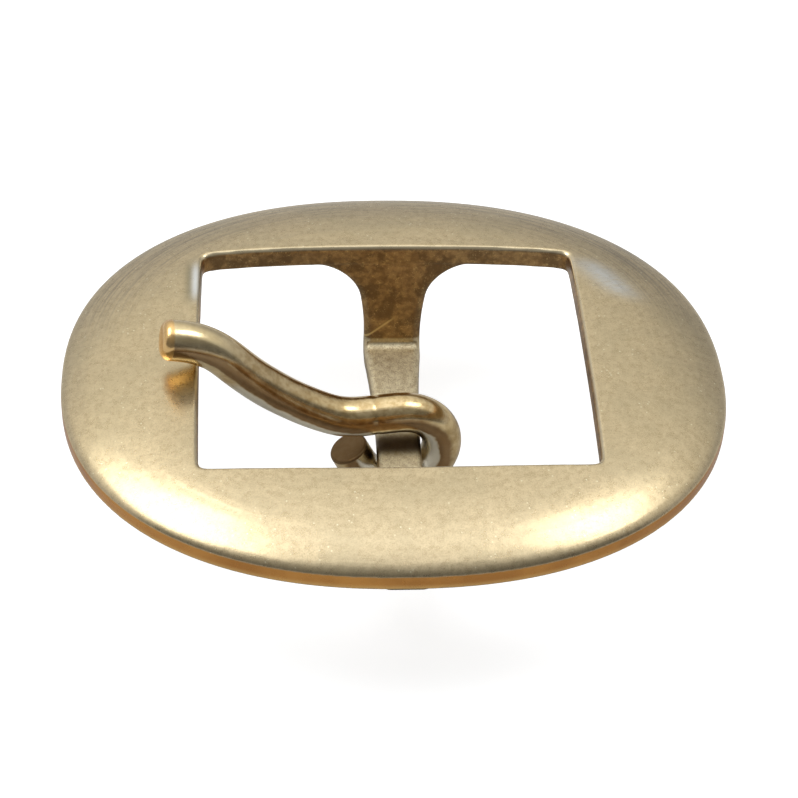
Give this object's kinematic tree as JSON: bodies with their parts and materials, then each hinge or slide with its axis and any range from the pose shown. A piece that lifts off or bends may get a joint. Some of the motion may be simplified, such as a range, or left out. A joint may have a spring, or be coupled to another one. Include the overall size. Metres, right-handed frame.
{
  "type": "belt buckle",
  "caption": "Domed oval centre-bar belt buckle in aged brass: a hollow-backed frame cast in one with a dropped strap bar, and a bent wire prong that swings on the bar.",
  "frame": {"origin": "middle of the strap bar's flat top face", "axes": "+X along the belt, away from the prong's tip; +Y across the belt, along the bar; +Z out of the buckle's face"},
  "size_m": [0.0651, 0.0562, 0.025],
  "materials": {
    "satin_brass": "aged satin with fine pits",
    "polished_brass": "aged, worn glossy"
  },
  "bodies": {
    "frame": {"frame_casting": "satin_brass"},
    "prong": {"prong": "polished_brass"}
  },
  "joints": [
    {"name": "prong_hinge", "type": "hinge", "parent": "frame", "child": "prong", "pos_m": [0, 0.0009, -0.00115], "axis": [0, 1, 0], "range_deg": [0, 98]}
  ]
}
